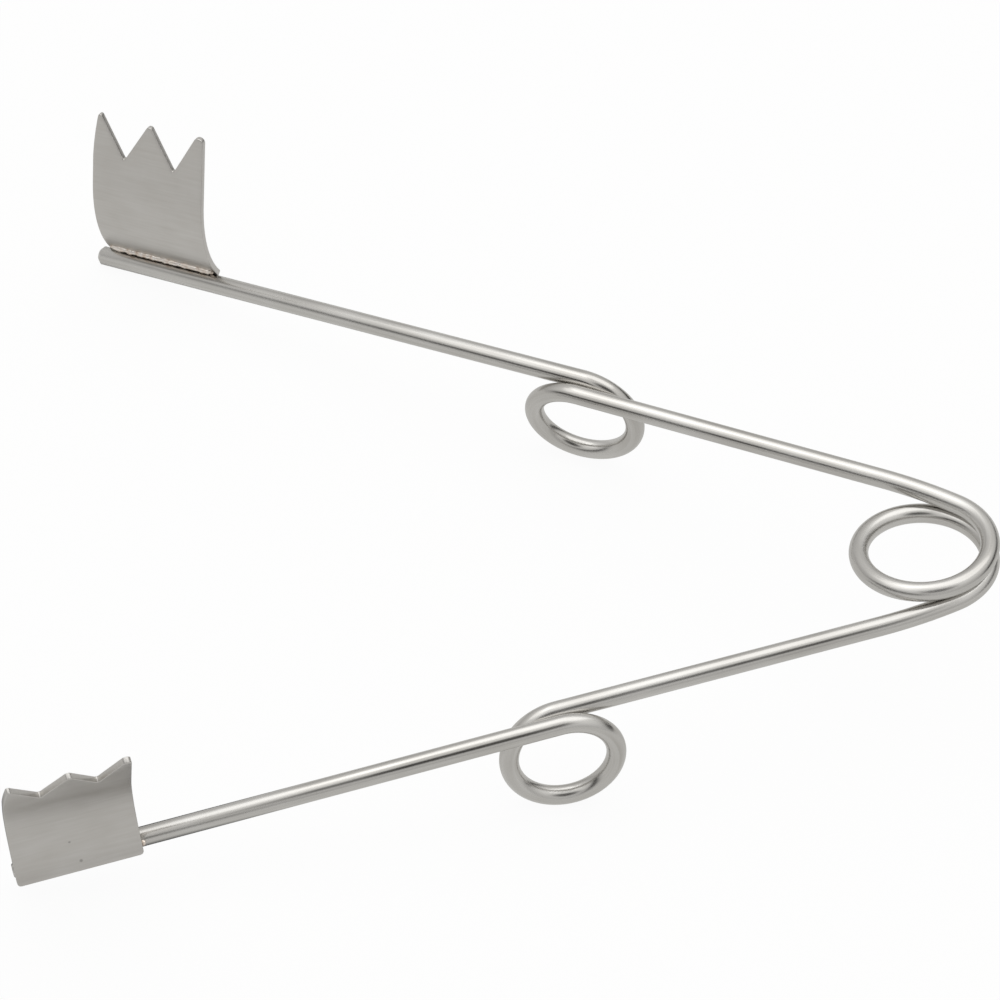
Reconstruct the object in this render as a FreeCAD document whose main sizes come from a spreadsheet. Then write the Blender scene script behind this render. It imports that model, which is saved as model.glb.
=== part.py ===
import FreeCAD, Part
import math
import os
import Sketcher
from FreeCAD import Placement, Rotation, Vector

# Spring wire retractor: one wire wound into a middle coil and two elbow loops, with a bent
# three-pronged blade brazed to the outer side of each wire end. It lies prongs up, +X runs
# from the blades to the middle coil, and Z is the height above the surface it rests on.

doc = FreeCAD.newDocument("spring_wire_retractor")

# Driving dimensions, in millimetres and degrees. Coil and loop radii are those of the wire's
# centre line. The turns are those of one half, so the middle coil turns twice its value.
DIMENSIONS = (
    ("wire_diameter", 1.5),
    ("wire_end_chamfer", 0.15),
    ("middle_coil_radius", 5.0),
    ("middle_coil_pitch", 1.6),
    ("middle_coil_half_turn", 240.4),
    ("lead_out_radius", 36.0),
    ("lead_out_turn", 10.3),
    ("middle_arm_length", 25.3),
    ("elbow_roll", 96.0),
    ("arm_plane_lean", 7.0),
    ("elbow_radius", 4.05),
    ("elbow_pitch", 1.55),
    ("upper_elbow_turn", 361.3),
    ("lower_elbow_turn", 360.3),
    ("outer_arm_length", 42.1),
    ("blade_width", 9.6),
    ("blade_thickness", 0.5),
    ("blade_bend_radius", 10.5),
    ("blade_seat_angle", 47.4),
    ("blade_lip", 0.8),
    ("outer_prong_height", 7.4),
    ("middle_prong_height", 6.4),
    ("notch_height", 2.6),
    ("notch_spacing", 4.3),
    ("outer_prong_rounding", 0.4),
    ("middle_prong_rounding", 0.3),
    ("notch_rounding", 0.12),
    ("lip_corner_rounding", 0.3),
    ("upper_blade_setback", 0.6),
    ("lower_blade_setback", 0.05),
    ("upper_blade_lean", 23.7),
    ("lower_blade_lean", 32.8),
    ("braze_margin", 0.25),
    ("braze_root", 0.2),
    ("braze_height", 0.95),
    ("braze_foot_angle", 65.0),
    ("braze_hollow", 0.08),
)
BEND_STEP = 28.0
SAMPLES_PER_BEND = 10
SETTLING_STEPS = 40
BLANK_MARGIN = 1.0
NEAR = 0.0001

sheet = doc.addObject("Spreadsheet::Sheet", "dimensions")
for row, (alias, value) in enumerate(DIMENSIONS, 1):
    sheet.set("A%d" % row, alias)
    sheet.set("B%d" % row, str(value))
    sheet.setAlias("B%d" % row, alias)
doc.recompute()


def size(alias):
    return float(sheet.get(alias))


def turned(vector, axis, degrees):
    return Rotation(axis, degrees).multVec(vector)


class Route:
    """Draws the wire's section along straights, bends and coils, and keeps the faces it leaves.

    side points from the wire towards the centre of the next bend.
    """

    def __init__(self, point, along, side, section):
        self.point = point
        self.along = along
        self.side = side
        self.section = section
        self.faces = []
        self.samples = [point]

    def straight(self, length):
        step = self.along * length
        self.faces.append(self.section.extrude(step))
        self.section = self.section.translated(step)
        self.point = self.point + step
        self.samples.append(self.point)

    def twist(self, degrees):
        self.side = turned(self.side, self.along, degrees)

    def bend(self, radius, degrees):
        centre = self.point + self.side * radius
        axis = self.along.cross(self.side)
        self.faces.append(self.section.revolve(centre, axis, degrees))
        self.section = self.section.rotated(centre, axis, degrees)
        start = self.point - centre
        for i in range(1, SAMPLES_PER_BEND + 1):
            part_turn = degrees * i / SAMPLES_PER_BEND
            self.samples.append(centre + turned(start, axis, part_turn))
        self.point = self.samples[-1]
        self.along = turned(self.along, axis, degrees)
        self.side = turned(self.side, axis, degrees)

    def coil(self, radius, pitch, degrees):
        """A helix wound as equal bends, with its twist shared out between them."""
        rise = pitch / (2 * math.pi)
        slant = math.hypot(radius, rise)
        bends = math.ceil(degrees / BEND_STEP)
        bend_turn = degrees * radius / slant / bends
        twist_turn = degrees * rise / slant / bends
        for _ in range(bends):
            self.twist(twist_turn / 2)
            self.bend(slant ** 2 / radius, bend_turn)
            self.twist(twist_turn / 2)

    def finish(self, chamfer):
        """Closes the wire with a flat end whose rim is broken by a chamfer."""
        seam = self.section.Vertexes[0].Point
        outwards = seam - self.point
        outwards.normalize()
        rim = Part.LineSegment(seam, seam + (self.along - outwards) * chamfer).toShape()
        self.faces.append(rim.revolve(self.point, self.along, 360))
        self.point = self.point + self.along * chamfer
        flat = Part.makeCircle(size("wire_diameter") / 2 - chamfer, self.point, self.along)
        self.faces.append(Part.Face(Part.Wire(flat)))


class WireHalf:
    """One half of the wire, from the middle of the middle coil out to the wire's end."""

    def __init__(self, section, is_upper):
        radius = size("middle_coil_radius")
        rise = size("middle_coil_pitch") / (2 * math.pi)
        slant = math.hypot(radius, rise)
        way = 1 if is_upper else -1
        along = Vector(0, -way * radius / slant, way * rise / slant)
        self.route = Route(Vector(-radius, 0, 0), along, Vector(1, 0, 0), section)
        self.way = way
        self.wind(is_upper)

    def wind(self, is_upper):
        route = self.route
        route.coil(size("middle_coil_radius"), size("middle_coil_pitch"), size("middle_coil_half_turn"))
        route.bend(size("lead_out_radius"), size("lead_out_turn"))
        route.straight(size("middle_arm_length"))
        route.twist(-self.way * size("elbow_roll") - size("arm_plane_lean"))
        self.outward = route.along.cross(route.side) * -self.way
        loop_start = len(route.samples)
        elbow_turn = size("upper_elbow_turn" if is_upper else "lower_elbow_turn")
        route.coil(size("elbow_radius"), -self.way * size("elbow_pitch"), elbow_turn)
        self.loop = route.samples[loop_start:]
        route.straight(size("outer_arm_length") - size("wire_end_chamfer"))
        route.finish(size("wire_end_chamfer"))

    def end_frame(self, setback, lean):
        """Placement of a blade on this half: X along the wire, Y outwards, Z towards the prongs."""
        along = self.route.along
        outward = self.outward - along * self.outward.dot(along)
        outward.normalize()
        up = along.cross(outward) * -self.way
        centre = self.route.point - along * (setback + size("blade_width") / 2)
        stand = Rotation(outward.cross(up), outward, up, "ZYX")
        return Placement(centre, stand * Rotation(Vector(1, 0, 0), -lean))


def wind_wire():
    """Both halves of the wire, and the solid that their faces enclose."""
    start = Vector(-size("middle_coil_radius"), 0, 0)
    rise = size("middle_coil_pitch") / (2 * math.pi)
    along = Vector(0, -size("middle_coil_radius"), rise)
    section = Part.makeCircle(size("wire_diameter") / 2, start, along)
    halves = [WireHalf(section, is_upper) for is_upper in (True, False)]
    faces = [face for half in halves for face in half.route.faces]
    shell = Part.Shell(faces)
    shell.sewShape()
    solid = Part.Solid(shell)
    if solid.Volume < 0:
        solid.reverse()
    return halves, solid


def origin_plane(body, role):
    return next(plane for plane in body.Origin.OriginFeatures if plane.Role == role)


def new_sketch(body, name, role):
    sketch = body.newObject("Sketcher::SketchObject", name)
    sketch.AttachmentSupport = [(origin_plane(body, role), "")]
    sketch.MapMode = "FlatFace"
    return sketch


def bind(sketch, kind, name, references, expression):
    """A named dimension of the sketch, tied to the sheet. It starts at the value that the
    sheet gives it, so that the sketch never has to jump."""
    value = sketch.evalExpression(expression)
    value = getattr(value, "Value", value)
    index = sketch.addConstraint(Sketcher.Constraint(kind, *references, value))
    sketch.renameConstraint(index, name)
    sketch.setExpression("Constraints." + name, expression)


START, END, CENTRE = 1, 2, 3
AXIS_POINT = (-1, START)
UPRIGHT_AXIS = -2

# Formulas that the blade's sketches share. The wire's axis is each blade's own origin.
CENTRE_REACH = "(dimensions.blade_bend_radius + dimensions.wire_diameter / 2)"
CENTRE_OUT = CENTRE_REACH + " * cos(dimensions.blade_seat_angle * 1 deg)"
CENTRE_UP = CENTRE_REACH + " * sin(dimensions.blade_seat_angle * 1 deg)"
LIP_ARC = "dimensions.blade_lip / dimensions.blade_bend_radius * 1 rad"
LIP_TURN = "(dimensions.blade_seat_angle * 1 deg + %s)" % LIP_ARC
OUTER_RADIUS = "(dimensions.blade_bend_radius - dimensions.blade_thickness)"


def bend_centre():
    """Where the blade's bend is centred: how far outwards, and how far towards the prongs."""
    reach = size("blade_bend_radius") + size("wire_diameter") / 2
    seat = math.radians(size("blade_seat_angle"))
    return reach * math.cos(seat), reach * math.sin(seat)


def foot_turn():
    """Angle of the bent foot, from the flat down to the edge of its lip."""
    return math.radians(size("blade_seat_angle")) + size("blade_lip") / size("blade_bend_radius")


def draw_blade_profile(body, blade_name):
    """Section of the sheet across the wire: a bent foot that seats on the wire, then a flat."""
    profile = new_sketch(body, blade_name + "_profile", "YZ_Plane")
    bend = size("blade_bend_radius")
    thickness = size("blade_thickness")
    lip_turn = foot_turn()
    out, up = bend_centre()
    top = up + size("outer_prong_height") + BLANK_MARGIN
    centre = Vector(out, up, 0)

    def at(radius, turn):
        return centre + Vector(-radius * math.cos(turn), -radius * math.sin(turn), 0)

    inner_top = Vector(out - bend, top, 0)
    outer_top = Vector(out - bend + thickness, top, 0)
    inner_arc = Part.Arc(at(bend, 0), at(bend, lip_turn / 2), at(bend, lip_turn))
    outer = bend - thickness
    outer_arc = Part.Arc(at(outer, 0), at(outer, lip_turn / 2), at(outer, lip_turn))
    profile.addGeometry(Part.LineSegment(inner_top, at(bend, 0)))
    profile.addGeometry(inner_arc)
    profile.addGeometry(Part.LineSegment(at(bend, lip_turn), at(outer, lip_turn)))
    profile.addGeometry(outer_arc)
    profile.addGeometry(Part.LineSegment(at(outer, 0), outer_top))
    profile.addGeometry(Part.LineSegment(outer_top, inner_top))
    inner_flat, foot, lip, back, outer_flat, rim = range(6)
    joins = (
        (inner_flat, END, foot, START),
        (foot, END, lip, START),
        (lip, END, back, END),
        (back, START, outer_flat, START),
        (outer_flat, END, rim, START),
        (rim, END, inner_flat, START),
        (foot, CENTRE, back, CENTRE),
    )
    for join in joins:
        profile.addConstraint(Sketcher.Constraint("Coincident", *join))
    profile.addConstraint(Sketcher.Constraint("Vertical", inner_flat))
    profile.addConstraint(Sketcher.Constraint("Vertical", outer_flat))
    profile.addConstraint(Sketcher.Constraint("Horizontal", rim))
    profile.addConstraint(Sketcher.Constraint("Horizontal", foot, CENTRE, foot, START))
    profile.addConstraint(Sketcher.Constraint("Horizontal", back, CENTRE, back, START))
    bind(profile, "DistanceX", "centre_out", (*AXIS_POINT, foot, CENTRE), CENTRE_OUT)
    bind(profile, "DistanceY", "centre_up", (*AXIS_POINT, foot, CENTRE), CENTRE_UP)
    bind(profile, "Radius", "bend_radius", (foot,), "dimensions.blade_bend_radius")
    bind(profile, "DistanceX", "thickness", (rim, END, rim, START), "dimensions.blade_thickness")
    bend_drop = "dimensions.blade_bend_radius * sin(%s)" % LIP_TURN
    bind(profile, "DistanceY", "lip_drop", (foot, END, foot, CENTRE), bend_drop)
    back_drop = "%s * sin(%s)" % (OUTER_RADIUS, LIP_TURN)
    bind(profile, "DistanceY", "back_drop", (back, END, foot, CENTRE), back_drop)
    blank_height = "dimensions.outer_prong_height + %s" % BLANK_MARGIN
    bind(profile, "DistanceY", "blank_height", (foot, CENTRE, rim, END), blank_height)
    return profile


def draw_prong_cut(body, blade_name):
    """What is cut away above the prongs, drawn on the flat of the sheet."""
    cut = new_sketch(body, blade_name + "_prong_cut", "XZ_Plane")
    base = bend_centre()[1]
    reach = size("blade_width") / 2 + BLANK_MARGIN
    slope = (size("outer_prong_height") - size("notch_height")) * 2
    slope /= size("blade_width") - size("notch_spacing")
    run_out = base + size("outer_prong_height") + BLANK_MARGIN * slope
    notch_x = size("notch_spacing") / 2
    notch_z = base + size("notch_height")
    sky = run_out + BLANK_MARGIN
    corners = [
        Vector(-reach, run_out, 0), Vector(-notch_x, notch_z, 0),
        Vector(0, base + size("middle_prong_height"), 0), Vector(notch_x, notch_z, 0),
        Vector(reach, run_out, 0), Vector(reach, sky, 0), Vector(-reach, sky, 0),
    ]
    count = len(corners)
    for i in range(count):
        cut.addGeometry(Part.LineSegment(corners[i], corners[(i + 1) % count]))
    for i in range(count):
        cut.addConstraint(Sketcher.Constraint("Coincident", i, END, (i + 1) % count, START))
    far_left, left_notch, middle, right_notch, far_right, right_sky, left_sky = range(count)
    for left, right in ((far_left, far_right), (left_notch, right_notch), (left_sky, right_sky)):
        cut.addConstraint(Sketcher.Constraint("Symmetric", left, START, right, START, UPRIGHT_AXIS))
    cut.addConstraint(Sketcher.Constraint("PointOnObject", middle, START, UPRIGHT_AXIS))
    cut.addConstraint(Sketcher.Constraint("Vertical", far_right))
    bind(cut, "DistanceX", "reach", (*AXIS_POINT, far_right, START),
         "dimensions.blade_width / 2 + %s" % BLANK_MARGIN)
    bind(cut, "DistanceX", "notch_out", (*AXIS_POINT, right_notch, START), "dimensions.notch_spacing / 2")
    bind(cut, "DistanceY", "notch_up", (*AXIS_POINT, right_notch, START),
         CENTRE_UP + " + dimensions.notch_height")
    bind(cut, "DistanceY", "middle_up", (*AXIS_POINT, middle, START),
         CENTRE_UP + " + dimensions.middle_prong_height")
    slope_formula = ("(dimensions.outer_prong_height - dimensions.notch_height) * 2"
                     " / (dimensions.blade_width - dimensions.notch_spacing)")
    run_out_formula = CENTRE_UP + " + dimensions.outer_prong_height + %s * %s" % (BLANK_MARGIN, slope_formula)
    bind(cut, "DistanceY", "run_out_up", (*AXIS_POINT, far_right, START), run_out_formula)
    bind(cut, "DistanceY", "sky", (far_right, START, right_sky, START), str(BLANK_MARGIN))
    return cut


def edges_at(shape, x, lowest_z, highest_z):
    """Names of the edges that run through the sheet at this place, on both sides of its middle."""
    found = []
    for number, edge in enumerate(shape.Edges, 1):
        ends = edge.Vertexes
        upright = len(ends) == 2 and abs(ends[0].X - ends[1].X) < NEAR
        beside = all(abs(abs(end.X) - x) < NEAR for end in ends)
        level = all(lowest_z - NEAR < end.Z < highest_z + NEAR for end in ends)
        if upright and beside and level:
            found.append("Edge%d" % number)
    return found


def round_edges(body, base, name, edges, alias):
    fillet = body.newObject("PartDesign::Fillet", name)
    fillet.Base = (base, edges)
    fillet.setExpression("Radius", "dimensions." + alias)
    doc.recompute()
    return fillet


def make_blade(name, frame):
    """A sheet bent along the wire, with three pointed prongs filed into its flat."""
    body = doc.addObject("PartDesign::Body", name)
    body.Label = name
    pad = body.newObject("PartDesign::Pad", name + "_sheet")
    pad.Profile = draw_blade_profile(body, name)
    pad.SideType = "Symmetric"
    pad.setExpression("Length", "dimensions.blade_width")
    pocket = body.newObject("PartDesign::Pocket", name + "_prongs")
    pocket.Profile = draw_prong_cut(body, name)
    pocket.Type = "ThroughAll"
    pocket.SideType = "Symmetric"
    doc.recompute()
    base = bend_centre()[1]
    half_width = size("blade_width") / 2
    outer_tip = base + size("outer_prong_height")
    middle_tip = base + size("middle_prong_height")
    notch = base + size("notch_height")
    lip_bottom = base - size("blade_bend_radius") * math.sin(foot_turn())
    lip_top = lip_bottom + size("blade_thickness") * math.sin(foot_turn())
    tips = edges_at(pocket.Shape, half_width, outer_tip, outer_tip)
    rounded = round_edges(body, pocket, name + "_outer_tips", tips, "outer_prong_rounding")
    tips = edges_at(rounded.Shape, 0, middle_tip, middle_tip)
    rounded = round_edges(body, rounded, name + "_middle_tip", tips, "middle_prong_rounding")
    notches = edges_at(rounded.Shape, size("notch_spacing") / 2, notch, notch)
    rounded = round_edges(body, rounded, name + "_notches", notches, "notch_rounding")
    lip_corners = edges_at(rounded.Shape, half_width, lip_bottom, lip_top)
    rounded = round_edges(body, rounded, name + "_lip_corners", lip_corners, "lip_corner_rounding")
    body.Tip = rounded
    body.Placement = frame
    return body


def make_braze(name, frame):
    """The fillet of brazing metal in the groove between the wire and the blade's inner face."""
    wire_radius = size("wire_diameter") / 2
    bend = size("blade_bend_radius")
    seat = math.radians(size("blade_seat_angle"))
    to_blade = Vector(0, math.cos(seat), math.sin(seat))
    up_blade = Vector(0, -math.sin(seat), math.cos(seat))
    length = size("blade_width") - 2 * size("braze_margin")
    start = Vector(-length / 2, 0, 0)
    centre = start + to_blade * (wire_radius + bend)

    def on_wire(height):
        turn = math.asin(height / wire_radius)
        return start + to_blade * (wire_radius * math.cos(turn)) + up_blade * height

    def on_blade(height):
        turn = math.asin(height / bend)
        return centre - to_blade * (bend * math.cos(turn)) + up_blade * height

    root = size("braze_root")
    top = size("braze_height")
    foot = wire_radius * math.sin(math.radians(size("braze_foot_angle")))
    chord_middle = (on_wire(foot) + on_blade(top)) * 0.5
    hollow = (on_blade(top) - on_wire(foot)).cross(Vector(1, 0, 0))
    hollow.normalize()
    if hollow.dot(chord_middle - start - to_blade * wire_radius) > 0:
        hollow = -hollow
    free_middle = chord_middle + hollow * size("braze_hollow")
    outline = Part.Wire([
        Part.Arc(on_wire(root), on_wire((root + foot) / 2), on_wire(foot)).toShape(),
        Part.Arc(on_wire(foot), free_middle, on_blade(top)).toShape(),
        Part.Arc(on_blade(top), on_blade((root + top) / 2), on_blade(root)).toShape(),
        Part.LineSegment(on_blade(root), on_wire(root)).toShape(),
    ])
    braze = doc.addObject("Part::Feature", name)
    braze.Label = name
    braze.Shape = Part.Face(outline).extrude(Vector(length, 0, 0))
    braze.Placement = frame
    return braze


def lowest(points, normal):
    return min(points, key=normal.dot)


def settle(halves, blades):
    """Placement that stands the retractor on its two elbow loops and its lowest blade end."""
    wire_radius = size("wire_diameter") / 2
    corners = []
    for blade in blades:
        corners += [vertex.Point for vertex in blade.Shape.Vertexes]
    normal = Vector(0, 0, 1)
    for _ in range(SETTLING_STEPS):
        loops = [lowest(half.loop, normal) - normal * wire_radius for half in halves]
        ends = list(corners)
        for half in halves:
            along = half.route.along
            down = along * normal.dot(along) - normal
            down.normalize()
            ends.append(half.route.point + down * wire_radius)
        front = lowest(ends, normal)
        normal = (loops[1] - loops[0]).cross(front - loops[0])
        normal.normalize()
        if normal.z < 0:
            normal = -normal
    forward = Vector(1, 0, 0) - normal * normal.x
    forward.normalize()
    rest = Rotation(forward, normal.cross(forward), normal, "ZXY").inverted()
    return Placement(Vector(), rest)


halves, wire_solid = wind_wire()
spring_wire = doc.addObject("Part::Feature", "spring_wire")
spring_wire.Label = "spring_wire"
spring_wire.Shape = wire_solid

blades = []
brazes = []
for side, half in zip(("upper", "lower"), halves):
    frame = half.end_frame(size(side + "_blade_setback"), size(side + "_blade_lean"))
    blades.append(make_blade(side + "_blade", frame))
    brazes.append(make_braze(side + "_braze", frame))
doc.recompute()

# The whole retractor is laid on its surface, then centred over the origin.
subparts = [spring_wire] + blades + brazes
rest = settle(halves, blades)
for subpart in subparts:
    subpart.Placement = rest * subpart.Placement
doc.recompute()
box = subparts[0].Shape.optimalBoundingBox(False, False)
for subpart in subparts[1:]:
    box.add(subpart.Shape.optimalBoundingBox(False, False))
shift = Placement(Vector(-box.Center.x, -box.Center.y, -box.ZMin), Rotation())
for subpart in subparts:
    subpart.Placement = shift * subpart.Placement
doc.recompute()

for item in doc.Objects:
    if "Invalid" in item.State or "Error" in item.State:
        raise RuntimeError("%s failed: %s" % (item.Label, item.State))
for subpart in subparts:
    if subpart.Shape.isNull() or not subpart.Shape.isValid():
        raise RuntimeError("%s has no valid shape" % subpart.Label)

os.makedirs("parts", exist_ok=True)
for subpart in subparts:
    subpart.Shape.exportStep("parts/%s.step" % subpart.Label)

route_length = sum(face.Area for face in wire_solid.Faces) / (math.pi * size("wire_diameter"))
print("spring_wire volume %.2f" % spring_wire.Shape.Volume)
print("section times length %.2f" % (route_length * math.pi * (size("wire_diameter") / 2) ** 2))
print("box %.2f x %.2f x %.2f" % (box.XLength, box.YLength, box.ZLength))
for subpart in subparts:
    print(subpart.Label, "volume %.2f" % subpart.Shape.Volume, "solids", len(subpart.Shape.Solids))
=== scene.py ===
import math

import bmesh
import bpy
import numpy as np
from mathutils import Matrix, Quaternion, Vector
from mathutils.geometry import delaunay_2d_cdt


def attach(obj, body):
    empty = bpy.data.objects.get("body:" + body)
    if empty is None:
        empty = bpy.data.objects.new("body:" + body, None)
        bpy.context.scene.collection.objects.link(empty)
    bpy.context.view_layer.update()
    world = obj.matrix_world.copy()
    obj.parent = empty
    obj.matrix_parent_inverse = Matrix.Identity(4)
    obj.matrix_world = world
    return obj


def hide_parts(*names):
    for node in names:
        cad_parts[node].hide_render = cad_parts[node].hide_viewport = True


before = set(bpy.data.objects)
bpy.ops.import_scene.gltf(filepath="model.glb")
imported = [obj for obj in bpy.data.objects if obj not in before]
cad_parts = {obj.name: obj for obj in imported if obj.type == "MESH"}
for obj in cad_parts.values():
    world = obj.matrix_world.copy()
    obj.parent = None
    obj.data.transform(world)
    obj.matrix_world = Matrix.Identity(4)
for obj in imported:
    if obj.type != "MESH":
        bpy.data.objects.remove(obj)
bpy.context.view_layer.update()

# The spring wire: one length of hard drawn stainless wire, wound into a middle coil of one and a
# third turns, then an elbow loop on each arm. Its two ends are cut square and broken by a stone.
MM = 0.001
wire_diameter = 1.5 * MM
wire_radius = wire_diameter / 2
end_chamfer = 0.28 * MM
middle_radius, middle_pitch, middle_half_turn = 5.0 * MM, 1.6 * MM, 240.4
lead_out_radius, lead_out_turn = 36.0 * MM, 10.3
middle_arm, outer_arm = 25.3 * MM, 42.1 * MM
elbow_roll, arm_plane_lean = 96.0, 7.0
elbow_radius, elbow_pitch = 4.05 * MM, 1.55 * MM
elbow_turns = {"upper": 361.3, "lower": 360.3}
bend_step = 28.0
points_per_bend = 12
wire_sides = 40

# Where the middle coil lies in the frame: the point on its axis and how its axis leans.
coil_place = Matrix.Translation(Vector((30.6167, 0.7017, 13.3173)) * MM)
coil_place = coil_place @ Matrix.Rotation(math.radians(-10.002), 4, "Y")
coil_place = coil_place @ Matrix.Rotation(math.radians(-9.492), 4, "X")


class WireRun:
    """The wire's centre line, followed from a point: straights, bends and coils."""

    def __init__(self, point, along, side):
        self.point, self.along, self.side = point.copy(), along.normalized(), side.normalized()
        self.points = [point.copy()]

    def straight(self, length):
        self.point = self.point + self.along * length
        self.points.append(self.point)

    def roll(self, degrees):
        self.side = Quaternion(self.along, math.radians(degrees)) @ self.side

    def bend(self, radius, degrees):
        centre = self.point + self.side * radius
        axis = self.along.cross(self.side)
        arm = self.point - centre
        for i in range(1, points_per_bend + 1):
            turn = Quaternion(axis, math.radians(degrees * i / points_per_bend))
            self.points.append(centre + turn @ arm)
        self.point = self.points[-1]
        self.along, self.side = turn @ self.along, turn @ self.side

    def coil(self, radius, pitch, degrees):
        rise = pitch / (2 * math.pi)
        slant = math.hypot(radius, rise)
        bends = math.ceil(degrees / bend_step)
        for _ in range(bends):
            self.roll(degrees * rise / slant / bends / 2)
            self.bend(slant ** 2 / radius, degrees * radius / slant / bends)
            self.roll(degrees * rise / slant / bends / 2)


runs = {}
for side, way in (("upper", 1), ("lower", -1)):
    rise = middle_pitch / (2 * math.pi)
    run = WireRun(Vector((-middle_radius, 0, 0)), Vector((0, -way * middle_radius, way * rise)), Vector((1, 0, 0)))
    run.coil(middle_radius, middle_pitch, middle_half_turn)
    run.bend(lead_out_radius, lead_out_turn)
    run.straight(middle_arm)
    run.roll(-way * elbow_roll - arm_plane_lean)
    run.outward = run.along.cross(run.side) * -way
    run.coil(elbow_radius, -way * elbow_pitch, elbow_turns[side])
    run.straight(outer_arm - end_chamfer)
    run.straight(end_chamfer)
    run.way = way
    runs[side] = run

line_points = runs["upper"].points[:0:-1] + runs["lower"].points
wire_curve = bpy.data.curves.new("spring_wire_line", "CURVE")
wire_curve.dimensions = "3D"
spline = wire_curve.splines.new("POLY")
spline.points.add(len(line_points) - 1)
for spot, point in zip(spline.points, line_points):
    spot.co = (*(coil_place @ point), 1)
wire_line = bpy.data.objects.new("spring_wire_line", wire_curve)
bpy.context.scene.collection.objects.link(wire_line)


def new_tree(name, *sizes):
    """A Geometry Nodes tree with named inputs for its sizes, and short ways to add and join nodes."""
    tree = bpy.data.node_groups.new(name, "GeometryNodeTree")
    tree.interface.new_socket("Geometry", in_out="INPUT", socket_type="NodeSocketGeometry")
    kinds = {float: "NodeSocketFloat", int: "NodeSocketInt", tuple: "NodeSocketVector",
             bpy.types.Material: "NodeSocketMaterial"}
    for label, kind in sizes:
        tree.interface.new_socket(label, in_out="INPUT", socket_type=kinds[kind])
    tree.interface.new_socket("Geometry", in_out="OUTPUT", socket_type="NodeSocketGeometry")
    given = tree.nodes.new("NodeGroupInput")
    result = tree.nodes.new("NodeGroupOutput")

    def add(kind, links=None, **settings):
        node = tree.nodes.new(kind)
        for key, value in settings.items():
            setattr(node, key, value)
        for socket, value in (links or {}).items():
            if isinstance(value, bpy.types.NodeSocket):
                tree.links.new(value, node.inputs[socket])
            else:
                node.inputs[socket].default_value = value
        return node

    return tree, given, result, add


def made_by(tree, carrier, name, **values):
    """Runs a tree on its carrier and keeps the result as a plain mesh piece at the origin."""
    changer = carrier.modifiers.new(tree.name, "NODES")
    changer.node_group = tree
    for item in tree.interface.items_tree:
        if item.in_out == "INPUT" and item.name in values:
            changer[item.identifier] = values[item.name]
    evaluated = carrier.evaluated_get(bpy.context.evaluated_depsgraph_get())
    mesh = bpy.data.meshes.new_from_object(evaluated)
    carrier.modifiers.remove(changer)
    bpy.data.objects.remove(carrier)
    piece = bpy.data.objects.new(name, mesh)
    bpy.context.scene.collection.objects.link(piece)
    return piece


def shader(name):
    """A metal material, its node list, and a short way to add and join nodes."""
    material = bpy.data.materials.new(name)
    material.use_nodes = True
    nodes = material.node_tree.nodes
    metal = nodes["Principled BSDF"]
    metal.inputs["Metallic"].default_value = 1.0

    def add(kind, links=None, **settings):
        node = nodes.new(kind)
        for key, value in settings.items():
            setattr(node, key, value)
        for socket, value in (links or {}).items():
            if isinstance(value, bpy.types.NodeSocket):
                material.node_tree.links.new(value, node.inputs[socket])
            else:
                node.inputs[socket].default_value = value
        return node

    def join(output, socket):
        material.node_tree.links.new(output, metal.inputs[socket])

    return material, add, join


def ramp(node, *stops):
    """Sets a Color Ramp's stops, each a place and a colour."""
    elements = node.color_ramp.elements
    while len(elements) < len(stops):
        elements.new(0.5)
    for element, (place, colour) in zip(elements, stops):
        element.position = place
        element.color = (*colour, 1)
    return node


def streaks(add, attribute, scales, detail=4.0):
    """Fine lines left by the tool, drawn out along one direction of an attribute of the surface."""
    where = add("ShaderNodeAttribute", attribute_name=attribute)
    stretched = add("ShaderNodeMapping", {"Vector": where.outputs["Vector"], "Scale": scales})
    return add("ShaderNodeTexNoise", {"Vector": stretched.outputs[0], "Scale": 1.0, "Detail": detail})


# Heat of the torch, written on the steel near each seam: straw and brown that fade with distance.
straw = (0.56, 0.47, 0.37)
scale_brown = (0.20, 0.145, 0.11)


def heat_tint(add, clean_steel):
    heat = add("ShaderNodeAttribute", attribute_name="heat")
    spots = add("ShaderNodeTexCoord")
    cloud = add("ShaderNodeTexNoise", {"Vector": spots.outputs["Object"], "Scale": 1700.0, "Detail": 3.0})
    patchy = add("ShaderNodeMapRange", {"Value": cloud.outputs["Fac"], "From Min": 0.3, "From Max": 0.7,
                                        "To Min": 0.55, "To Max": 1.25})
    strength = add("ShaderNodeMath", {0: heat.outputs["Fac"], 1: patchy.outputs[0]}, operation="MULTIPLY")
    tints = ramp(add("ShaderNodeValToRGB", {"Fac": strength.outputs[0]}), (0.12, (1, 1, 1)), (0.45, straw),
                 (0.85, scale_brown))
    return add("ShaderNodeMix", {0: 1.0, 6: clean_steel, 7: tints.outputs["Color"]}, data_type="RGBA",
               blend_type="MULTIPLY").outputs[2]


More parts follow.
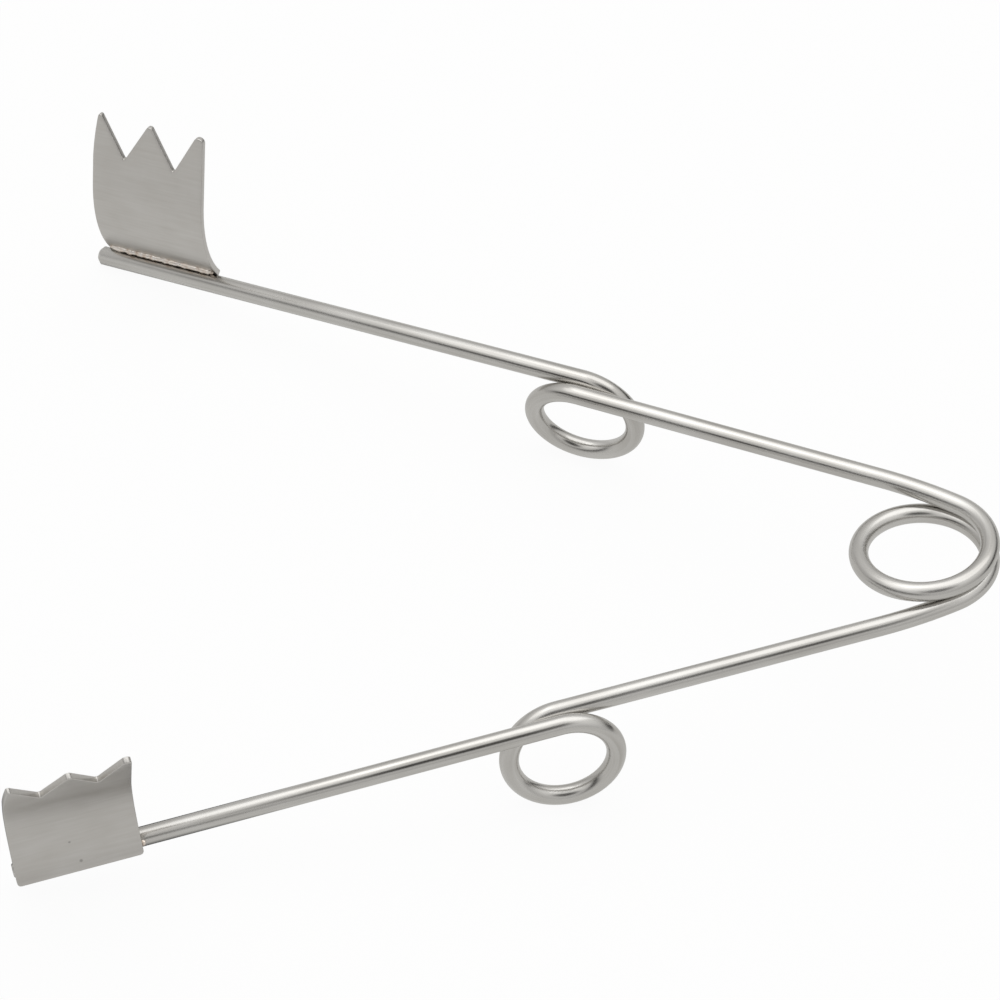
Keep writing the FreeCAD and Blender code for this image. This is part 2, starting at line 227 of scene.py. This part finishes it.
wire_steel, add, join = shader("wire_steel")
drawn = streaks(add, "drawn", (2600.0, 2600.0, 55.0))
cloudy = streaks(add, "drawn", (420.0, 420.0, 160.0), 2.0)
both = add("ShaderNodeMath", {0: drawn.outputs["Fac"], 1: cloudy.outputs["Fac"]}, operation="ADD")
half_both = add("ShaderNodeMath", {0: both.outputs[0], 1: 0.5}, operation="MULTIPLY")
steel = ramp(add("ShaderNodeValToRGB", {"Fac": half_both.outputs[0]}), (0.36, (0.53, 0.515, 0.49)),
             (0.64, (0.69, 0.68, 0.66)))
join(heat_tint(add, steel.outputs["Color"]), "Base Color")
lines = add("ShaderNodeMapRange", {"Value": drawn.outputs["Fac"], "From Min": 0.3, "From Max": 0.7,
                                   "To Min": 0.19, "To Max": 0.27})
haze = add("ShaderNodeMapRange", {"Value": cloudy.outputs["Fac"], "From Min": 0.3, "From Max": 0.7,
                                  "To Min": -0.04, "To Max": 0.06})
join(add("ShaderNodeMath", {0: lines.outputs[0], 1: haze.outputs[0]}, operation="ADD").outputs[0], "Roughness")
relief = add("ShaderNodeBump", {"Height": drawn.outputs["Fac"], "Strength": 0.16, "Distance": 0.00002})
join(relief.outputs["Normal"], "Normal")

tree, given, result, add = new_tree("drawn_wire", ("Diameter", float), ("End chamfer", float), ("Sides", int),
                                    ("Metal", bpy.types.Material))
radius = add("ShaderNodeMath", {0: given.outputs["Diameter"], 1: 0.5}, operation="MULTIPLY")
place = add("GeometryNodeSplineParameter")
whole = add("GeometryNodeSplineLength")
to_far_end = add("ShaderNodeMath", {0: whole.outputs["Length"], 1: place.outputs["Length"]}, operation="SUBTRACT")
to_end = add("ShaderNodeMath", {0: place.outputs["Length"], 1: to_far_end.outputs[0]}, operation="MINIMUM")
lost = add("ShaderNodeMath", {0: given.outputs["End chamfer"], 1: to_end.outputs[0]}, operation="SUBTRACT")
lost = add("ShaderNodeMath", {0: lost.outputs[0], 1: 0.0}, operation="MAXIMUM")
kept = add("ShaderNodeMath", {0: radius.outputs[0], 1: lost.outputs[0]}, operation="SUBTRACT")
thickness = add("ShaderNodeMath", {0: kept.outputs[0], 1: radius.outputs[0]}, operation="DIVIDE")
course = add("GeometryNodeCaptureAttribute", {"Geometry": given.outputs["Geometry"]}, domain="POINT")
course.capture_items.new("FLOAT", "Along")
tree.links.new(place.outputs["Length"], course.inputs["Along"])
section = add("GeometryNodeCurvePrimitiveCircle", {"Resolution": given.outputs["Sides"], "Radius": radius.outputs[0]})
around = add("GeometryNodeInputPosition")
section_kept = add("GeometryNodeCaptureAttribute", {"Geometry": section.outputs[0]}, domain="POINT")
section_kept.capture_items.new("VECTOR", "Around")
tree.links.new(around.outputs[0], section_kept.inputs["Around"])
sweep = add("GeometryNodeCurveToMesh", {"Curve": course.outputs["Geometry"],
                                        "Profile Curve": section_kept.outputs["Geometry"],
                                        "Scale": thickness.outputs[0], "Fill Caps": True})
split = add("ShaderNodeSeparateXYZ", {0: section_kept.outputs["Around"]})
lengthwise = add("ShaderNodeCombineXYZ", {"X": split.outputs["X"], "Y": split.outputs["Y"],
                                          "Z": course.outputs["Along"]})
noted = add("GeometryNodeStoreNamedAttribute", {"Geometry": sweep.outputs["Mesh"], "Name": "drawn"},
            data_type="FLOAT_VECTOR", domain="POINT")
tree.links.new(lengthwise.outputs[0], next(s for s in noted.inputs if s.name == "Value" and s.enabled))
smooth = add("GeometryNodeSetShadeSmooth", {"Geometry": noted.outputs[0]})
real = add("GeometryNodeRealizeInstances", {"Geometry": smooth.outputs[0]})
finished = add("GeometryNodeSetMaterial", {"Geometry": real.outputs[0], "Material": given.outputs["Metal"]})
tree.links.new(finished.outputs[0], result.inputs[0])

wire = made_by(tree, wire_line, "drawn_spring_wire", Diameter=wire_diameter, Sides=wire_sides, Metal=wire_steel,
               **{"End chamfer": end_chamfer})
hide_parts("spring_wire")
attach(wire, "root")

# The blades: two like pieces of 0.5 mm stainless sheet. Each is cut flat with three prongs, its edges
# are filed and tumbled, and its foot is bent to seat on the outer side of the wire's end.
sheet_width, sheet_thickness = 9.6 * MM, 0.5 * MM
foot_radius, seat_angle, lip = 10.5 * MM, 47.4, 0.8 * MM
tip_height, middle_height, notch_out = 7.4 * MM, 6.3 * MM, 2.15 * MM
notch_heights = {"upper": 2.52 * MM, "lower": 2.4 * MM}
prong_shifts = {"upper": -0.1 * MM, "lower": -0.14 * MM}
end_tip_rounding, elbow_tip_roundings = 0.17 * MM, {"upper": 0.42 * MM, "lower": 0.36 * MM}
middle_rounding, notch_rounding = 0.28 * MM, 0.12 * MM
lip_rounding, elbow_lip_roundings = 0.3 * MM, {"upper": 0.8 * MM, "lower": 0.3 * MM}
ease_start, ease_span, ease_end = 1.3 * MM, 3.7 * MM, 6.55 * MM
ease_depths = {"upper": 0.26 * MM, "lower": 0.2 * MM}
pattern_places = {"upper": 20 * MM, "lower": 0.0}
rim_break, rim_steps = 0.07 * MM, 4
outline_step, grid_step = 0.22 * MM, 0.4 * MM
setbacks = {"upper": 0.6 * MM, "lower": 0.05 * MM}
leans = {"upper": 23.7, "lower": 32.8}


def rounded(corners):
    """A closed outline from corners with a radius each, with arcs in place of the corners."""
    outline = []
    count = len(corners)
    for i, (corner, radius) in enumerate(corners):
        here = Vector(corner)
        back = (Vector(corners[i - 1][0]) - here).normalized()
        ahead = (Vector(corners[(i + 1) % count][0]) - here).normalized()
        if radius == 0:
            outline.append(here)
            continue
        half = back.angle(ahead) / 2
        centre = here + (back + ahead).normalized() * radius / math.sin(half)
        first = here + back * radius / math.tan(half) - centre
        last = here + ahead * radius / math.tan(half) - centre
        sweep_angle = first.angle_signed(last)
        steps = max(3, math.ceil(abs(sweep_angle) * radius / (outline_step / 3)))
        for k in range(steps + 1):
            outline.append(centre + Matrix.Rotation(-sweep_angle * k / steps, 2) @ first)
    return outline


def divided(outline):
    """The same outline with a point at least every outline_step."""
    points = []
    for here, ahead in zip(outline, outline[1:] + outline[:1]):
        steps = max(1, math.ceil((ahead - here).length / outline_step))
        points += [here.lerp(ahead, k / steps) for k in range(steps)]
    return points


def inset(outline, depth):
    """The outline moved inwards by a small depth. It runs anticlockwise."""
    moved = []
    count = len(outline)
    for i, here in enumerate(outline):
        before = (here - outline[i - 1]).normalized()
        after = (outline[(i + 1) % count] - here).normalized()
        inward = (Vector((-before.y, before.x)) + Vector((-after.y, after.x))).normalized()
        share = max(inward.dot(Vector((-after.y, after.x))), 0.5)
        moved.append(here + inward * depth / share)
    return moved


half_width = sheet_width / 2
lip_bottom = -foot_radius * math.radians(seat_angle) - lip
ease_heights = [ease_start + ease_span * share for share in (0.3, 0.6, 0.9, 1.2)]


def eased(side, height):
    """How far the end side's edge stands from the middle, where it is filed back towards its tip."""
    return half_width - ease_depths[side] * ((height - ease_start) / ease_span) ** 2


def cut_blank(side):
    """The outline that is filed into one flat blank, from its lip up to its three prongs."""
    shift, notch_height = prong_shifts[side], notch_heights[side]
    tip_slope = (half_width - notch_out) / (tip_height - notch_height)
    end_tip = eased(side, ease_end)
    end_tip_height = notch_height + (end_tip - notch_out) / tip_slope
    blank = [((-half_width, lip_bottom), elbow_lip_roundings[side]), ((half_width, lip_bottom), lip_rounding)]
    blank += [((eased(side, h), h), 0) for h in ease_heights]
    blank += [((end_tip, end_tip_height), end_tip_rounding), ((notch_out + shift, notch_height), notch_rounding),
              ((shift, middle_height), middle_rounding), ((shift - notch_out, notch_height), notch_rounding),
              ((-half_width, tip_height), elbow_tip_roundings[side])]
    return divided(rounded(blank))


def bent(across, height, depth, stand):
    """A point of the flat sheet, taken to its place on the bent blade."""
    turn = max(-height, 0) / foot_radius
    reach = foot_radius + wire_radius
    seat = math.radians(seat_angle)
    out = reach * math.cos(seat) - (foot_radius - depth) * math.cos(turn)
    up = reach * math.sin(seat) - (foot_radius - depth) * math.sin(turn) + max(height, 0)
    return stand @ Vector((across, out, up))


def blade_stand(side):
    """Where a blade stands: X towards the wire's end, Y outwards, Z towards the prongs."""
    run = runs[side]
    outward = (run.outward - run.along * run.outward.dot(run.along)).normalized()
    up = run.along.cross(outward) * -run.way
    lean = math.radians(leans[side])
    leaned_out = outward * math.cos(lean) - up * math.sin(lean)
    leaned_up = up * math.cos(lean) + outward * math.sin(lean)
    centre = run.point - run.along * (setbacks[side] + half_width)
    stand = Matrix((run.along, leaned_out, leaned_up)).transposed().to_4x4()
    stand.translation = centre
    return coil_place @ stand


def cut_blade(name, side):
    """The sheet with a broken rim: two faces, and rings of points round its edge between them."""
    cut_line, stand = cut_blank(side), stands[side]
    rings = []
    for k in range(rim_steps + 1):
        turn = math.pi / 2 * k / rim_steps
        rings.append((rim_break * (1 - math.sin(turn)), rim_break * (1 - math.cos(turn))))
    rings += [(shy, sheet_thickness - depth) for shy, depth in reversed(rings)]
    sheet = bmesh.new()
    noted = sheet.verts.layers.float_vector.new("sheet")

    def vertex(point, depth):
        made = sheet.verts.new(bent(point[0], point[1], depth, stand))
        made[noted] = (point[0] + pattern_places[side], point[1], depth)
        return made

    loops = [[vertex(p, depth) for p in inset(cut_line, shy)] for shy, depth in rings]
    for lower, upper in zip(loops, loops[1:]):
        for i in range(len(lower)):
            sheet.faces.new((lower[i - 1], lower[i], upper[i], upper[i - 1]))
    rim = inset(cut_line, rings[0][0])
    count = len(rim)
    inner = []
    x = -half_width + grid_step
    while x < half_width - grid_step / 2:
        h = lip_bottom + grid_step
        while h < tip_height:
            inner.append(Vector((x, h)))
            h += grid_step
        x += grid_step
    corners = np.array([(p.x, p.y) for p in rim])
    kept = []
    for spot in inner:
        a, b = corners, np.roll(corners, -1, axis=0)
        crosses = (a[:, 1] > spot.y) != (b[:, 1] > spot.y)
        reach = (b[:, 0] - a[:, 0]) * (spot.y - a[:, 1]) / np.where(crosses, b[:, 1] - a[:, 1], 1) + a[:, 0]
        clear = np.hypot(corners[:, 0] - spot.x, corners[:, 1] - spot.y).min() > grid_step / 2
        if clear and (crosses & (spot.x < reach)).sum() % 2:
            kept.append(spot)
    points = [Vector((p.x, p.y)) for p in rim] + kept
    edges = [(i, (i + 1) % count) for i in range(count)]
    made, _, faces, _, _, _ = delaunay_2d_cdt(points, edges, [], 1, 1e-9)
    for loop, depth in ((loops[0], 0), (loops[-1], sheet_thickness)):
        spots = list(loop) + [vertex(p, depth) for p in kept]
        for face in faces:
            sheet.faces.new([spots[i] for i in face])
    bmesh.ops.recalc_face_normals(sheet, faces=sheet.faces)
    mesh = bpy.data.meshes.new(name)
    sheet.to_mesh(mesh)
    sheet.free()
    mesh.shade_smooth()
    blade = bpy.data.objects.new(name, mesh)
    bpy.context.scene.collection.objects.link(blade)
    return blade


def write_heat(piece, seams, spread):
    """Notes on each point of a piece how near it lies to a seam, as one that fades to nothing."""
    spots = np.zeros(len(piece.data.vertices) * 3)
    piece.data.vertices.foreach_get("co", spots)
    spots = spots.reshape(-1, 3)
    heat = np.zeros(len(spots))
    for start, end in seams:
        start, end = np.array(start), np.array(end)
        share = ((spots - start) @ (end - start)) / ((end - start) @ (end - start))
        nearest = start + np.clip(share, 0, 1)[:, None] * (end - start)
        distance = np.linalg.norm(spots - nearest, axis=1)
        heat = np.maximum(heat, np.exp(-(distance / spread) ** 2))
    layer = piece.data.attributes.new("heat", "FLOAT", "POINT")
    layer.data.foreach_set("value", heat.astype(np.float32))


# Two small pits in the lower blade's outer face, drawn only as painted shade, darker spots in its colour: their place
# on the sheet and how wide they are.
pit_shade_spots = ((0.4 * MM, -6.6 * MM, 0.13 * MM), (-0.15 * MM, -8.6 * MM, 0.17 * MM))
blade_steel, add, join = shader("blade_steel")
brushed = streaks(add, "sheet", (260.0, 3400.0, 400.0))
clouds = streaks(add, "sheet", (330.0, 420.0, 300.0), 2.0)
grit = streaks(add, "sheet", (9000.0, 9000.0, 9000.0), 2.0)
mixed = add("ShaderNodeMath", {0: brushed.outputs["Fac"], 1: clouds.outputs["Fac"]}, operation="ADD")
half_mixed = add("ShaderNodeMath", {0: mixed.outputs[0], 1: 0.5}, operation="MULTIPLY")
steel = ramp(add("ShaderNodeValToRGB", {"Fac": half_mixed.outputs[0]}), (0.35, (0.585, 0.567, 0.54)),
             (0.65, (0.665, 0.65, 0.628))).outputs["Color"]
on_sheet = add("ShaderNodeAttribute", attribute_name="sheet")
# Painted shade of the pits: the steel's colour is darkened in each small spot.
for across, height, reach in pit_shade_spots:
    spot = add("ShaderNodeVectorMath", {0: on_sheet.outputs["Vector"], 1: (across, height, sheet_thickness)},
               operation="DISTANCE")
    clear = add("ShaderNodeMapRange", {"Value": spot.outputs["Value"], "From Min": reach * 0.4, "From Max": reach,
                                       "To Min": 0.62, "To Max": 1.0})
    steel = add("ShaderNodeVectorMath", {0: steel, "Scale": clear.outputs[0]}, operation="SCALE").outputs[0]
join(heat_tint(add, steel), "Base Color")
roughness = add("ShaderNodeMapRange", {"Value": half_mixed.outputs[0], "From Min": 0.35, "From Max": 0.65,
                                       "To Min": 0.30, "To Max": 0.42})
join(roughness.outputs[0], "Roughness")
relief = add("ShaderNodeMath", {0: brushed.outputs["Fac"], 1: grit.outputs["Fac"]}, operation="ADD")
relief = add("ShaderNodeBump", {"Height": relief.outputs[0], "Strength": 0.12, "Distance": 0.00002})
join(relief.outputs["Normal"], "Normal")

seam_reach, seam_height, seam_margin = 0.74 * MM, 0.74 * MM, 0.3 * MM
seat = math.radians(seat_angle)
groove_out = seam_reach * math.cos(seat) - seam_height * math.sin(seat)
groove_up = seam_reach * math.sin(seat) + seam_height * math.cos(seat)
stands, seams = {}, {}
for side in ("upper", "lower"):
    stands[side] = blade_stand(side)
    seams[side] = [stands[side] @ Vector((x, groove_out, groove_up))
                   for x in (-half_width + seam_margin, half_width - seam_margin)]
write_heat(wire, seams.values(), 0.75 * MM)
for side in ("upper", "lower"):
    blade = cut_blade(side + "_blade_sheet", side)
    blade.data.materials.append(blade_steel)
    write_heat(blade, [seams[side]], 1.3 * MM)
    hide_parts(side + "_blade")
    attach(blade, "root")

# The brazed seams: pale gold filler that was flowed by torch into the groove between each blade
# and the wire. Each is an uneven bead with a ragged edge and a drop left where it ends.
bead_radius, bead_points, bead_sides = 0.27 * MM, 150, 18
drop_radii = {"upper": 0.2 * MM, "lower": 0.24 * MM}
raggedness = 0.1 * MM

braze_metal, add, join = shader("braze_metal")
where = add("ShaderNodeTexCoord")
patches = add("ShaderNodeTexNoise", {"Vector": where.outputs["Object"], "Scale": 2300.0, "Detail": 4.0})
gold = ramp(add("ShaderNodeValToRGB", {"Fac": patches.outputs["Fac"]}), (0.26, (0.60, 0.49, 0.41)),
            (0.42, (0.88, 0.78, 0.69)), (0.62, (0.97, 0.92, 0.87)))
join(gold.outputs["Color"], "Base Color")
dull = add("ShaderNodeMapRange", {"Value": patches.outputs["Fac"], "From Min": 0.3, "From Max": 0.7,
                                  "To Min": 0.5, "To Max": 0.26})
join(dull.outputs[0], "Roughness")
grains = add("ShaderNodeTexNoise", {"Vector": where.outputs["Object"], "Scale": 7000.0, "Detail": 3.0})
relief = add("ShaderNodeBump", {"Height": grains.outputs["Fac"], "Strength": 0.35, "Distance": 0.00003})
join(relief.outputs["Normal"], "Normal")

tree, given, result, add = new_tree("brazed_seam", ("Start", tuple), ("End", tuple), ("Bead radius", float),
                                    ("Points", int), ("Sides", int), ("Raggedness", float), ("Seed", float),
                                    ("Drop", tuple), ("Drop radius", float), ("Metal", bpy.types.Material))
line = add("GeometryNodeCurvePrimitiveLine", {"Start": given.outputs["Start"], "End": given.outputs["End"]})
evened = add("GeometryNodeResampleCurve", {"Curve": line.outputs[0], "Count": given.outputs["Points"]})
share = add("GeometryNodeSplineParameter")
from_end = add("ShaderNodeMath", {0: 1.0, 1: share.outputs["Factor"]}, operation="SUBTRACT")
nearer = add("ShaderNodeMath", {0: share.outputs["Factor"], 1: from_end.outputs[0]}, operation="MINIMUM")
taper = add("ShaderNodeMapRange", {"Value": nearer.outputs[0], "From Min": 0.0, "From Max": 0.035,
                                   "To Min": 0.5, "To Max": 1.0}, interpolation_type="SMOOTHSTEP")
slow = add("ShaderNodeMath", {0: share.outputs["Factor"], 1: 17.0}, operation="MULTIPLY")
waves = add("ShaderNodeTexNoise", {"W": slow.outputs[0], "Scale": 1.0, "Detail": 3.0}, noise_dimensions="1D")
shifted = add("ShaderNodeMath", {0: slow.outputs[0], 1: given.outputs["Seed"]}, operation="ADD")
tree.links.new(shifted.outputs[0], waves.inputs["W"])
swell = add("ShaderNodeMapRange", {"Value": waves.outputs["Fac"], "From Min": 0.3, "From Max": 0.7,
                                   "To Min": 0.78, "To Max": 1.12})
scale = add("ShaderNodeMath", {0: taper.outputs[0], 1: swell.outputs[0]}, operation="MULTIPLY")
profile = add("GeometryNodeCurvePrimitiveCircle", {"Resolution": given.outputs["Sides"],
                                                   "Radius": given.outputs["Bead radius"]})
bead = add("GeometryNodeCurveToMesh", {"Curve": evened.outputs[0], "Profile Curve": profile.outputs[0],
                                       "Scale": scale.outputs[0], "Fill Caps": True})
drop = add("GeometryNodeMeshUVSphere", {"Segments": 20, "Rings": 12, "Radius": given.outputs["Drop radius"]})
placed = add("GeometryNodeSetPosition", {"Geometry": drop.outputs["Mesh"], "Offset": given.outputs["Drop"]})
both = add("GeometryNodeJoinGeometry")
tree.links.new(placed.outputs[0], both.inputs[0])
tree.links.new(bead.outputs[0], both.inputs[0])
spot = add("GeometryNodeInputPosition")
lumps = add("ShaderNodeTexNoise", {"Vector": spot.outputs[0], "Scale": 3600.0, "Detail": 3.0})
centred = add("ShaderNodeMath", {0: lumps.outputs["Fac"], 1: 0.5}, operation="SUBTRACT")
raised = add("ShaderNodeMath", {0: centred.outputs[0], 1: given.outputs["Raggedness"]}, operation="MULTIPLY")
facing = add("GeometryNodeInputNormal")
push = add("ShaderNodeVectorMath", {0: facing.outputs[0], "Scale": raised.outputs[0]}, operation="SCALE")
ragged = add("GeometryNodeSetPosition", {"Geometry": both.outputs[0], "Offset": push.outputs[0]})
smooth = add("GeometryNodeSetShadeSmooth", {"Geometry": ragged.outputs[0]})
real = add("GeometryNodeRealizeInstances", {"Geometry": smooth.outputs[0]})
finished = add("GeometryNodeSetMaterial", {"Geometry": real.outputs[0], "Material": given.outputs["Metal"]})
tree.links.new(finished.outputs[0], result.inputs[0])

drop_places = {"upper": Vector((-half_width + 0.45 * MM, 0.2 * MM, 0.85 * MM)),
               "lower": Vector((-half_width - 0.12 * MM, 0.58 * MM, 0.48 * MM))}
for seed, side in enumerate(("upper", "lower")):
    carrier = bpy.data.objects.new(side + "_seam_carrier", bpy.data.meshes.new(side + "_seam_carrier"))
    bpy.context.scene.collection.objects.link(carrier)
    bead = made_by(tree, carrier, side + "_braze_bead", Start=tuple(seams[side][0]), End=tuple(seams[side][1]),
                   Points=bead_points, Sides=bead_sides, Raggedness=raggedness, Seed=10.0 * seed,
                   Drop=tuple(stands[side] @ drop_places[side]), Metal=braze_metal,
                   **{"Bead radius": bead_radius, "Drop radius": drop_radii[side]})
    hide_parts(side + "_braze")
    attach(bead, "root")

# The studio: a white table under two soft lights, with the dark of the room behind the camera,
# which the wire shows as a darker line along its arms. The metal sees the table as a plain pale
# grey, with a painted shade under the lower blade: a dark patch in the table's colour that shows
# in nothing but the metal.
floor_size = 6.0
floor_mesh = bpy.data.meshes.new("table_top")
half = floor_size / 2
floor_mesh.from_pydata([(-half, -half, 0), (half, -half, 0), (half, half, 0), (-half, half, 0)], [], [(0, 1, 2, 3)])
floor = bpy.data.objects.new("table_top", floor_mesh)
bpy.context.scene.collection.objects.link(floor)
paper = bpy.data.materials.new("white_paper")
paper.use_nodes = True
nodes, links = paper.node_tree.nodes, paper.node_tree.links
matt = nodes["Principled BSDF"]
matt.inputs["Base Color"].default_value = (0.9, 0.9, 0.9, 1)
matt.inputs["Roughness"].default_value = 0.9
matt.inputs["Specular IOR Level"].default_value = 0.0
ray = nodes.new("ShaderNodeLightPath")
seen = nodes.new("ShaderNodeMath")
seen.operation = "MAXIMUM"
links.new(ray.outputs["Is Camera Ray"], seen.inputs[0])
links.new(ray.outputs["Is Transmission Ray"], seen.inputs[1])
shares = nodes.new("ShaderNodeMath")
shares.operation = "MULTIPLY"
shares.inputs[1].default_value = 0.94
links.new(seen.outputs[0], shares.inputs[0])
total = nodes.new("ShaderNodeMath")
total.operation = "MAXIMUM"
links.new(shares.outputs[0], total.inputs[0])
links.new(ray.outputs["Is Glossy Ray"], total.inputs[1])
# Painted shade: a soft dark patch in the table's colour under the lower blade, seen only in the metal.
painted_shade_middle, painted_shade_reach = (-30 * MM, -20 * MM), (14 * MM, 10.5 * MM)
table_place = nodes.new("ShaderNodeTexCoord")
painted_shade_scale = nodes.new("ShaderNodeVectorMath")
painted_shade_scale.operation = "DIVIDE"
painted_shade_scale.inputs[1].default_value = (*painted_shade_reach, 1)
links.new(table_place.outputs["Object"], painted_shade_scale.inputs[0])
from_painted_shade = nodes.new("ShaderNodeVectorMath")
from_painted_shade.operation = "DISTANCE"
from_painted_shade.inputs[1].default_value = (painted_shade_middle[0] / painted_shade_reach[0], painted_shade_middle[1] / painted_shade_reach[1], 0)
links.new(painted_shade_scale.outputs[0], from_painted_shade.inputs[0])
painted_shade_edge = nodes.new("ShaderNodeMapRange")
painted_shade_edge.inputs["From Min"].default_value = 0.8
painted_shade_edge.inputs["From Max"].default_value = 1.2
links.new(from_painted_shade.outputs["Value"], painted_shade_edge.inputs["Value"])
# The table's plain pale grey as the metal sees it, going dark at the middle of the painted shade.
table_grey_and_painted_shade = ramp(nodes.new("ShaderNodeValToRGB"), (0.0, (0.10, 0.10, 0.10)), (1.0, (0.68, 0.675, 0.66)))
links.new(painted_shade_edge.outputs[0], table_grey_and_painted_shade.inputs["Fac"])
seen_white = nodes.new("ShaderNodeMix")
seen_white.data_type = "RGBA"
seen_white.inputs[7].default_value = (1, 1, 1, 1)
links.new(seen.outputs[0], seen_white.inputs[0])
links.new(table_grey_and_painted_shade.outputs["Color"], seen_white.inputs[6])
white = nodes.new("ShaderNodeEmission")
links.new(seen_white.outputs[2], white.inputs["Color"])
mixer = nodes.new("ShaderNodeMixShader")
links.new(total.outputs[0], mixer.inputs[0])
links.new(matt.outputs[0], mixer.inputs[1])
links.new(white.outputs[0], mixer.inputs[2])
links.new(mixer.outputs[0], nodes["Material Output"].inputs["Surface"])
floor_mesh.materials.append(paper)

world = bpy.data.worlds.new("studio")
bpy.context.scene.world = world
world.use_nodes = True
nodes, links = world.node_tree.nodes, world.node_tree.links
nodes.clear()


def world_node(kind, values=None, **settings):
    node = nodes.new(kind)
    for key, value in settings.items():
        setattr(node, key, value)
    for socket, value in (values or {}).items():
        if isinstance(value, bpy.types.NodeSocket):
            links.new(value, node.inputs[socket])
        else:
            node.inputs[socket].default_value = value
    return node


def direction(azimuth, elevation):
    """Unit vector towards a place in the room. Azimuth 0 is the camera's side, -Y, and 90 is +X."""
    a, e = math.radians(azimuth), math.radians(elevation)
    return Vector((math.sin(a) * math.cos(e), -math.cos(a) * math.cos(e), math.sin(e)))


def dark_place(azimuth, elevation, wide, high):
    """One in a soft oval of the room, and nothing outside it. wide and high are in degrees."""
    middle = direction(azimuth, elevation)
    level = Vector((math.cos(math.radians(azimuth)), math.sin(math.radians(azimuth)), 0))
    upright = level.cross(-middle).normalized()
    across = world_node("ShaderNodeVectorMath", {0: towards, 1: tuple(level)}, operation="DOT_PRODUCT")
    above = world_node("ShaderNodeVectorMath", {0: towards, 1: tuple(upright)}, operation="DOT_PRODUCT")
    ahead = world_node("ShaderNodeVectorMath", {0: towards, 1: tuple(middle)}, operation="DOT_PRODUCT")
    parts = []
    for turned, reach in ((across, wide), (above, high)):
        share = world_node("ShaderNodeMath", {0: turned.outputs["Value"], 1: math.sin(math.radians(reach))},
                           operation="DIVIDE")
        parts.append(world_node("ShaderNodeMath", {0: share.outputs[0], 1: 2.0}, operation="POWER"))
    far = world_node("ShaderNodeMath", {0: parts[0].outputs[0], 1: parts[1].outputs[0]}, operation="ADD")
    soft = world_node("ShaderNodeMapRange", {"Value": far.outputs[0], "From Min": 0.3, "From Max": 1.6,
                                             "To Min": 1.0, "To Max": 0.0}, interpolation_type="SMOOTHSTEP")
    front = world_node("ShaderNodeMath", {0: ahead.outputs["Value"], 1: 0.0}, operation="GREATER_THAN")
    return world_node("ShaderNodeMath", {0: soft.outputs[0], 1: front.outputs[0]}, operation="MULTIPLY").outputs[0]


towards = world_node("ShaderNodeTexCoord").outputs["Generated"]
height = world_node("ShaderNodeSeparateXYZ", {0: towards}).outputs["Z"]
room = ramp(world_node("ShaderNodeValToRGB", {"Fac": height}), (0.0, (0.50, 0.495, 0.485)),
            (0.30, (0.62, 0.615, 0.605)), (0.75, (0.90, 0.895, 0.88))).outputs["Color"]
for azimuth, elevation, wide, high in ((10, 49, 22, 17), (-45, 17, 42, 9), (120, 4, 38, 16)):
    dark = dark_place(azimuth, elevation, wide, high)
    room = world_node("ShaderNodeMix", {0: dark, 6: room, 7: (0.06, 0.058, 0.056, 1)}, data_type="RGBA").outputs[2]
ray = world_node("ShaderNodeLightPath")
room_light = world_node("ShaderNodeBackground", {"Color": room, "Strength": 1.0})
plain_white = world_node("ShaderNodeBackground", {"Color": (1, 1, 1, 1), "Strength": 1.0})
seen = world_node("ShaderNodeMath", {0: ray.outputs["Is Camera Ray"], 1: ray.outputs["Is Transmission Ray"]},
                  operation="MAXIMUM")
mixer = world_node("ShaderNodeMixShader", {0: seen.outputs[0], 1: room_light.outputs[0], 2: plain_white.outputs[0]})
world_node("ShaderNodeOutputWorld", {"Surface": mixer.outputs[0]})


def soft_light(name, azimuth, elevation, distance, width, depth, radiance):
    """A soft box that faces the object. Its power follows from how bright its face is to look."""
    lamp = bpy.data.lights.new(name, "AREA")
    lamp.shape = "RECTANGLE"
    lamp.size, lamp.size_y = width, depth
    lamp.energy = radiance * math.pi * width * depth
    holder = bpy.data.objects.new(name, lamp)
    bpy.context.scene.collection.objects.link(holder)
    back = direction(azimuth, elevation)
    holder.location = back * distance
    holder.rotation_mode = "QUATERNION"
    holder.rotation_quaternion = back.to_track_quat("Z", "Y")


soft_light("overhead_soft_box", 170, 70, 0.9, 1.1, 0.75, 0.62)
soft_light("left_soft_box", -100, 58, 0.9, 0.7, 0.5, 0.5)

# The camera: a long lens that looks down on the retractor from in front, turned a little about
# its own axis.
camera_azimuth, camera_elevation, camera_roll = -4.446, 50.188, 10.195
camera_data = bpy.data.cameras.new("camera")
camera_data.sensor_width = 36.0
camera_data.lens = 213.26
camera_data.clip_start, camera_data.clip_end = 0.01, 20.0
camera = bpy.data.objects.new("camera", camera_data)
bpy.context.scene.collection.objects.link(camera)
back = direction(camera_azimuth, camera_elevation)
level = Vector((math.cos(math.radians(camera_azimuth)), math.sin(math.radians(camera_azimuth)), 0))
upright = back.cross(level)
roll = math.radians(camera_roll)
right = level * math.cos(roll) + upright * math.sin(roll)
up = upright * math.cos(roll) - level * math.sin(roll)
camera.matrix_world = Matrix((right, up, back)).transposed().to_4x4()
camera.location = Vector((-24.219, -285.758, 358.238)) * MM
bpy.context.scene.camera = camera

bpy.context.scene.view_settings.view_transform = "Standard"
